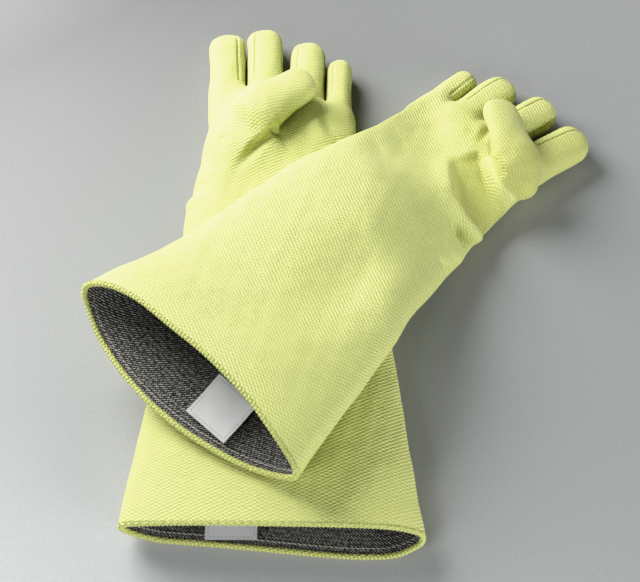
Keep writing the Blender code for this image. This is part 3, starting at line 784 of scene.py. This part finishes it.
def plain(name, colour, rough, grain=0.0, scale=900.0):
    m = Nodes(name)
    if grain:
        co = m.new("ShaderNodeTexCoord")
        n = m.noise(co.outputs["Object"], scale, 3.0)
        bump = m.new("ShaderNodeBump")
        bump.inputs["Distance"].default_value = grain
        m.put(bump.inputs["Height"], n)
        m.put(m.bsdf.inputs["Normal"], bump.outputs[0])
        m.put(m.bsdf.inputs["Base Color"], m.mix(m.ramp(n, 0.3, 0.7, 0.0, 0.25), (*colour, 1), tuple(c * 0.8 for c in colour) + (1,)))
    else:
        m.bsdf.inputs["Base Color"].default_value = (*colour, 1)
    m.bsdf.inputs["Roughness"].default_value = rough
    return m.mat


def tape(width, length):
    """Label tape: fine ribs across it, a run of border stitches, and a heat-cut edge."""
    m = Nodes("label_tape")
    vec, x, y, edge = m.cloth()
    rib = m.math("SINE", m.math("MULTIPLY", y, 2 * math.pi / (0.62 * MM)))
    warp = m.math("SINE", m.math("MULTIPLY", x, 2 * math.pi / (0.45 * MM)))
    run = m.math("MULTIPLY", m.ramp(m.math("ABSOLUTE", m.math("SUBTRACT", edge, 2.1 * MM)), 0.55 * MM, 0.25 * MM),
                 m.ramp(m.math("SINE", m.math("MULTIPLY", m.math("ADD", x, y), 2 * math.pi / (2.6 * MM))), -0.35, 0.1))
    lip = m.ramp(edge, 0.9 * MM, 0.2 * MM)
    height = m.math("ADD", m.math("MULTIPLY", rib, 0.25), m.math("MULTIPLY", warp, 0.12))
    height = m.math("ADD", height, m.math("MULTIPLY", run, 1.5))
    height = m.math("ADD", height, m.math("MULTIPLY", m.noise(vec, 900.0, 3.0), 0.4))
    bump = m.new("ShaderNodeBump")
    bump.inputs["Distance"].default_value = 0.00022
    m.put(bump.inputs["Height"], height)
    m.put(m.bsdf.inputs["Normal"], bump.outputs[0])
    col = m.mix(m.ramp(m.math("ADD", rib, m.math("MULTIPLY", warp, 0.5)), -1.2, 1.2), (0.70, 0.71, 0.70, 1), (0.84, 0.85, 0.84, 1))
    col = m.mix(m.ramp(m.noise(vec, 60.0, 2.0), 0.35, 0.8, 0.0, 0.22), col, (0.55, 0.55, 0.53, 1))
    col = m.mix(m.math("MULTIPLY", run, 0.65), col, (0.46, 0.47, 0.48, 1))
    col = m.mix(m.math("MULTIPLY", lip, 0.45), col, (0.42, 0.42, 0.41, 1))
    m.put(m.bsdf.inputs["Base Color"], col)
    m.bsdf.inputs["Roughness"].default_value = 0.62
    return m.mat


YELLOW = aramid("aramid_weave", (0.850, 0.905, 0.365), (0.66, 0.715, 0.15), (0.50, 0.50, 0.10))
HEM = aramid("hem_weave", (0.82, 0.88, 0.30), (0.58, 0.63, 0.12), (0.40, 0.42, 0.08), relief=0.0005)
GREY = twill()
THREAD = plain("stitch_thread", (0.46, 0.45, 0.40), 0.7, 0.0003, 1500.0)
LABEL_W, LABEL_L = 36.0, 34.0
TAPE = tape(LABEL_W, LABEL_L)


def ring_points(g, count, inset, forward):
    """Evenly spaced points round the mouth edge, their outward and along-glove directions."""
    a = np.linspace(0, 2 * math.pi, 2001)[:-1]

    def pt(a, v, ins):
        top, zc = (float(interp(g.body, i, 0.0)) for i in (2, 3))
        c, s = np.cos(a), np.sin(a)
        hw = g.half(c, 0.0 * c)
        u = (hw - ins) * np.sign(c) * np.abs(c) ** (2 / SQ)
        zz = zc + np.where(s >= 0, top - zc - ins, zc + 4 - ins) * np.sign(s) * np.abs(s) ** (2 / SQ)
        zz = np.maximum(zz, ins)
        return np.stack([u, np.full(len(a), v), zz], 1)
    loop = g.place(g.slide(pt(a, 0.0, inset)) - np.array([0, 0, 0]))
    seg = np.linalg.norm(np.roll(loop, -1, 0) - loop, axis=1)
    run = np.concatenate([[0], np.cumsum(seg)])
    want = np.linspace(0, run[-1], count + 1)[:-1]
    aa = np.interp(want, run, np.concatenate([a, [2 * math.pi]]))
    base = g.slide(pt(aa, 0.0, inset))
    base[:, 1] += forward
    P = g.place(base)
    ahead = base.copy()
    ahead[:, 1] += 1.0
    along = g.place(ahead) - P
    along /= np.linalg.norm(along, axis=1, keepdims=True)
    tan = np.roll(P, -1, 0) - np.roll(P, 1, 0)
    tan /= np.linalg.norm(tan, axis=1, keepdims=True)
    out = np.cross(tan, along)
    flip = np.sign(((P - P.mean(0)) * out).sum(1).mean())
    out = out * flip
    out /= np.linalg.norm(out, axis=1, keepdims=True)
    return P, along, out, tan, want, run[-1]


def hem_mesh(g):
    """Rolled edge: two yarns laid round each other, so that it reads as small scallops."""
    around = 12
    R = 2.15
    total = ring_points(g, 64, R, -0.2)[5]
    turns = round(total / 2.75)
    count = turns * 8
    P, along, out, tan, run, total = ring_points(g, count, R, -0.2)
    pts, cloth = [], []
    for j in range(around):
        th = 2 * math.pi * j / around
        phase = 2 * math.pi * turns * run / total
        r = R * (1.0 + 0.11 * np.cos(th * 1 - phase)) + 0.10 * np.cos(2 * th - phase * 2)
        pts.append(P + (np.cos(th) * r)[:, None] * out - (np.sin(th) * r)[:, None] * along)
        cloth.append(np.stack([run, np.full(count, R * th), np.full(count, 40.0)], 1))
    verts = np.stack(pts, 1).reshape(-1, 3)
    fab = np.stack(cloth, 1).reshape(-1, 3)
    i = np.arange(count)[:, None]
    j = np.arange(around)[None, :]
    i2, j2 = (i + 1) % count, (j + 1) % around
    faces = np.stack([i * around + j, i * around + j2, i2 * around + j2, i2 * around + j], -1).reshape(-1, 4)
    verts[:, 2] = np.maximum(verts[:, 2], 0.05)
    n = normals_of(verts, faces)
    if ((verts - np.repeat(P, around, 0)) * n).sum(1).mean() < 0:
        faces = faces[:, ::-1]
    ob = build(g.name + "_hem_cord", verts * MM, faces, fab * MM)
    ob.data.materials.append(HEM)
    return ob


def lining_point(g, a, v, ins):
    top, zc = (interp(g.body, i, v) for i in (2, 3))
    c, s = np.cos(a), np.sin(a)
    hw = g.half(c, v)
    u = (hw - ins) * np.sign(c) * np.abs(c) ** (2 / SQ)
    z = zc + np.where(s >= 0, top - zc - ins, zc + 4 - ins) * np.sign(s) * np.abs(s) ** (2 / SQ)
    return np.stack([u, v + 0 * u, np.maximum(z, ins)], -1)


def lining_mesh(g):
    na, nv = ((240, 120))
    a = np.linspace(0, 2 * math.pi, na + 1)
    v = 232.0 * (np.linspace(0, 1, nv + 1) ** 1.3)
    A, V = np.meshgrid(a, v)
    # it narrows away from the creases at the wrist and closes flat where nothing can be seen of it
    ins = 3.1 + 9.0 * smooth((V - 140.0) / 55.0)
    P = lining_point(g, A, V, ins)
    shut = smooth((V - 205.0) / 27.0)
    P[..., 0] *= 1 - 0.999 * shut
    P[..., 2] += (interp(g.body, 3, V) - P[..., 2]) * 0.999 * shut
    P[..., 2] -= sunk_by(g.swells, P[..., 0], V) * np.clip((P[..., 2] - interp(g.body, 3, V)) / (
        interp(g.body, 2, V) - interp(g.body, 3, V)), 0.0, 1.0)
    soft = 0.9 * noise3(P.reshape(-1, 3), 60.0, 21 + g.draped).reshape(A.shape) * smooth((V - 12) / 30.0)
    mid = np.stack([0 * V, V, 0 * V + interp(g.body, 3, V)], -1)
    inward = mid - P
    inward /= np.maximum(np.linalg.norm(inward, axis=-1, keepdims=True), 1e-6)
    P = P + inward * (np.abs(soft) * (1 - smooth((V - 150.0) / 40.0)))[..., None]
    Q = g.place(g.slide(P.reshape(-1, 3)))
    ref = lining_point(g, a, np.zeros(na + 1), 3.1)
    arc = np.concatenate([[0], np.cumsum(np.linalg.norm(np.diff(ref, axis=0), axis=1))])
    fab = np.stack([np.tile(arc, nv + 1), V.ravel(), V.ravel()], 1)
    i = np.arange(nv)[:, None]
    j = np.arange(na)[None, :]
    w = na + 1
    faces = np.stack([i * w + j, i * w + j + 1, (i + 1) * w + j + 1, (i + 1) * w + j], -1).reshape(-1, 4)
    ob = build(g.name + "_lining_tube", Q * MM, faces, fab * MM)
    ob.data.materials.append(GREY)
    return ob


def stitches(g):
    """The line of thread that holds the rolled edge, seen on the lining."""
    total = ring_points(g, 64, 3.4, 5.0)[5]
    count = int(total / 3.6)
    P, along, out, tan, run, total = ring_points(g, count, 3.3, 5.2)
    verts, faces = [], []
    for p, t, o, al in zip(P, tan, out, along):
        base = len(verts)
        side = np.cross(t, o)
        for k, (x, r) in enumerate(((-1.6, 0.14), (-1.0, 0.48), (1.0, 0.48), (1.6, 0.14))):
            for q in range(6):
                th = math.pi * q / 3
                verts.append(p + t * x + al * (0.25 * x) - o * (0.25 + 0.0 * x) + (side * math.cos(th) + o * math.sin(th)) * r)
        for k in range(3):
            for q in range(6):
                q2 = (q + 1) % 6
                faces.append((base + k * 6 + q, base + k * 6 + q2, base + k * 6 + 6 + q2, base + k * 6 + 6 + q))
    ob = build(g.name + "_stitch_line", np.array(verts) * MM, np.array(faces), None)
    ob.data.materials.append(THREAD)
    return ob


def label_mesh(g):
    """Plain tape label sewn into the mouth along its lower edge, its far end standing a little proud."""
    W, L, T = LABEL_W, LABEL_L, 0.55
    u0, v0 = 28.0, (-14.0 if g.draped else -1.0)
    n = 24
    rows, fab = [], []
    for side in (1, 0):
        for i in range(n + 1):
            for j in range(n + 1):
                s, t = j / n - 0.5, i / n
                rise = (4.5 if g.draped else 2.0) * t * t + 0.8 * (2 * s) ** 2 * t + 0.35 * math.sin(5.1 * s + 3.4 * t) * t
                rows.append((u0 + W * s, v0 + L * t, 7.6 + rise + side * T))
                fab.append((W * s, L * t, min(W * (0.5 - abs(s)), L * t, L * (1 - t))))
    P = g.place(np.array(rows))
    w = n + 1
    off = w * w
    faces = []
    for i in range(n):
        for j in range(n):
            q = (i * w + j, i * w + j + 1, (i + 1) * w + j + 1, (i + 1) * w + j)
            faces.append(q)
            faces.append(tuple(off + x for x in q[::-1]))
    for j in range(n):
        for a, b in ((j, j + 1), (n * w + j + 1, n * w + j)):
            faces.append((b, a, off + a, off + b))
    for i in range(n):
        for a, b in (((i + 1) * w, i * w), (i * w + n, (i + 1) * w + n)):
            faces.append((b, a, off + a, off + b))
    ob = build(g.name + "_label_tape", P * MM, np.array(faces), np.array(fab) * MM, smooth_shade=False)
    ob.data.materials.append(TAPE)
    return ob


DIGITS = ("index", "middle", "ring", "pinky", "thumb")
for g in (LEFT, RIGHT):
    G = g.name
    verts, quads, fab, label, names = skin(g)
    nrm = normals_of(verts, quads)
    if (nrm[:, 2] * (verts[:, 2] > 0.03)).sum() < 0:
        quads = quads[:, ::-1]
        nrm = -nrm
    fl = label[quads]
    face_label = np.where((fl == fl[:, :1]).all(1), fl[:, 0], 0)
    for i in range(6):
        f = quads[face_label == i]
        if i == 0:
            ob = build(G + "_shell_skin", verts, f, fab, nrm)
            ob.data.materials.append(YELLOW)
            if g is LEFT:
                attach(ob, "left_glove")
            else:
                a = g.place(np.array([0.0, 238.0, 20.0])) * MM
                b = g.place(np.array([0.0, 282.0, 20.0])) * MM
                tuple(a)
                tuple(b)
                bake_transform(ob)
            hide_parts(*[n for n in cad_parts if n.startswith(G) and any(
                n == f"{G}_{q}" for q in ("gauntlet_palm_panel", "gauntlet_back_panel", "hand_palm_panel",
                                          "hand_back_panel", "hand_lining", "thumb_gusset"))])
            continue
        k = names[i - 1]
        ob = build(f"{G}_{k}_skin", verts, f, fab, nrm)
        ob.data.materials.append(YELLOW)
        if k == "thumb":
            t = math.radians(g.thumb["turn"])
            bu, bv, bz = g.thumb["base"]
            c0, c1 = 22.6, 42.0
            p0 = (bu - c0 * math.sin(t), bv + c0 * math.cos(t), bz)
            p1 = (bu - c1 * math.sin(t), bv + c1 * math.cos(t), bz)
        else:
            off, length, half, lean, top, taper, cut = g.fingers[k]
            s, c = math.sin(math.radians(lean)), math.cos(math.radians(lean))
            c0, c1 = cut + 2.2, cut + 26.0
            p0 = (off + c0 * s, g.kv + c0 * c, 14.0)
            p1 = (off + c1 * s, g.kv + c1 * c, 14.0)
        a, b = g.place(np.array(p0)) * MM, g.place(np.array(p1)) * MM
        tuple(a)
        tuple(b)
        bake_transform(ob)
        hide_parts(*[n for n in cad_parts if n.startswith(f"{G}_{k}_")])
    root = "left_glove" if g is LEFT else "right_gauntlet"
    ob = hem_mesh(g)
    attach(ob, root)
    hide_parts(G + "_cuff_hem")
    ob = lining_mesh(g)
    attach(ob, root)
    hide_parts(G + "_gauntlet_lining")
    ob = stitches(g)
    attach(ob, root)
    ob = label_mesh(g)
    vh = -8.0 if g.draped else -1.0
    a = g.place(np.array([28.0, vh + 0.5, 8.0])) * MM
    b = g.place(np.array([28.0, vh + 9.0, 8.0])) * MM
    tuple(a)
    tuple(b)
    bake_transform(ob)
    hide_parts(G + "_label")

# ---------------------------------------------------------------- floor, light, camera
me = bpy.data.meshes.new("floor")
me.from_pydata([(-4, -4, 0), (4, -4, 0), (4, 4, 0), (-4, 4, 0)], [], [(0, 1, 2, 3)])
floor = bpy.data.objects.new("floor", me)
bpy.context.scene.collection.objects.link(floor)
fm = Nodes("floor_pale")
where = fm.new("ShaderNodeTexCoord")
axis = fm.new("ShaderNodeSeparateXYZ")
fm.put(axis.inputs[0], where.outputs["Object"])
# painted light: the floor's colour is graded, lighter towards the front and the front left and darker towards the back,
# standing for the fall of the lamps' light across it
pitch = fm.math("MULTIPLY_ADD", axis.outputs[0], 1.5, -0.47)
level = fm.math("MULTIPLY_ADD", axis.outputs[0], 0.16, 0.320)
near = fm.math("MULTIPLY", fm.math("MAXIMUM", fm.math("MULTIPLY_ADD", axis.outputs[1], -0.55, -0.066), 0.0),
               fm.math("MULTIPLY_ADD", axis.outputs[0], -2.5, 1.0, clamp=True))
level = fm.math("ADD", level, near)
tone = fm.math("MINIMUM", fm.math("MAXIMUM", fm.math("MULTIPLY_ADD", axis.outputs[1], pitch, level), 0.12), 0.56)
grit = fm.ramp(fm.noise(where.outputs["Object"], 420.0, 2.0), 0.3, 0.7, 0.97, 1.03)
tone = fm.math("MULTIPLY", tone, grit)
tint = fm.new("ShaderNodeCombineXYZ")
fm.put(tint.inputs[0], fm.math("MULTIPLY", tone, 0.975))
fm.put(tint.inputs[1], fm.math("MULTIPLY", tone, 1.005))
fm.put(tint.inputs[2], fm.math("MULTIPLY", tone, 1.015))
fm.put(fm.bsdf.inputs["Base Color"], tint.outputs[0])
fm.bsdf.inputs["Roughness"].default_value = 0.55
BACKDROP = (0.66, 0.675, 0.68, 1)
reach = fm.new("ShaderNodeVectorMath", operation="LENGTH")
fm.put(reach.inputs[0], where.outputs["Object"])
seen = fm.new("ShaderNodeLightPath").outputs["Is Camera Ray"]
sweep = fm.new("ShaderNodeEmission")
sweep.inputs[0].default_value = BACKDROP
blend = fm.new("ShaderNodeMixShader")
fm.put(blend.inputs[0], fm.math("MULTIPLY", fm.ramp(reach.outputs["Value"], 0.42, 0.95), seen))
fm.put(blend.inputs[1], fm.bsdf.outputs[0])
fm.put(blend.inputs[2], sweep.outputs[0])
fm.put(fm.t.nodes["Material Output"].inputs[0], blend.outputs[0])
me.materials.append(fm.mat)


def area(name, place, target, size, power, colour):
    from mathutils import Vector
    L = bpy.data.lights.new(name, "AREA")
    L.shape = "RECTANGLE"
    L.size, L.size_y = size
    L.energy = power
    L.color = colour
    o = bpy.data.objects.new(name, L)
    o.location = place
    o.rotation_mode = "QUATERNION"
    o.rotation_quaternion = (Vector(target) - Vector(place)).to_track_quat("-Z", "Y")
    bpy.context.scene.collection.objects.link(o)
    return o


area("key", (-0.60, 0.64, 0.58), (0.0, 0.05, 0.0), (0.80, 0.70), 27.8, (1.0, 0.995, 0.98))
area("front", (-0.66, -0.80, 0.72), (0.0, -0.05, 0.0), (0.60, 0.60), 6.0, (0.99, 0.995, 1.0))
area("fill", (0.95, -0.78, 0.28), (0.0, 0.0, 0.04), (0.8, 0.36), 12.5, (0.98, 0.99, 1.0))
world = bpy.data.worlds.new("studio")
world.use_nodes = True
world.node_tree.nodes["Background"].inputs[0].default_value = (0.93, 0.96, 1.0, 1)
world.node_tree.nodes["Background"].inputs[1].default_value = 0.04
tree = world.node_tree
pale = tree.nodes.new("ShaderNodeBackground")
pale.inputs[0].default_value = BACKDROP
choice = tree.nodes.new("ShaderNodeMixShader")
tree.links.new(tree.nodes.new("ShaderNodeLightPath").outputs["Is Camera Ray"], choice.inputs[0])
tree.links.new(tree.nodes["Background"].outputs[0], choice.inputs[1])
tree.links.new(pale.outputs[0], choice.inputs[2])
tree.links.new(choice.outputs[0], tree.nodes["World Output"].inputs[0])
bpy.context.scene.world = world

cam = bpy.data.cameras.new("camera")
cam.sensor_width = 36.0
cam.lens = 63.1
cam.clip_start, cam.clip_end = 0.05, 50
co = bpy.data.objects.new("camera", cam)
bpy.context.scene.collection.objects.link(co)
el = math.radians(62.0)
co.location = (0.033, -0.025 - 0.867 * math.cos(el), 0.867 * math.sin(el))
co.rotation_euler = (math.radians(90 - 62.0), 0, 0)
bpy.context.scene.camera = co
view = bpy.context.scene.view_settings
view.view_transform = "Standard"
# a soft shoulder, as a camera has, so that the lit side pales instead of clipping
view.use_curve_mapping = True
curves = view.curve_mapping
curves.use_clip = False
curves.clip_max_x, curves.clip_max_y = 2.5, 1.5
curve = curves.curves[3]
curve.points[0].location = (0.0, 0.0)
curve.points[1].location = (2.4, 0.945)
for point in ((0.30, 0.270), (0.60, 0.520), (0.80, 0.680), (0.95, 0.790), (1.15, 0.870), (1.50, 0.915)):
    curve.points.new(*point)
curves.update()
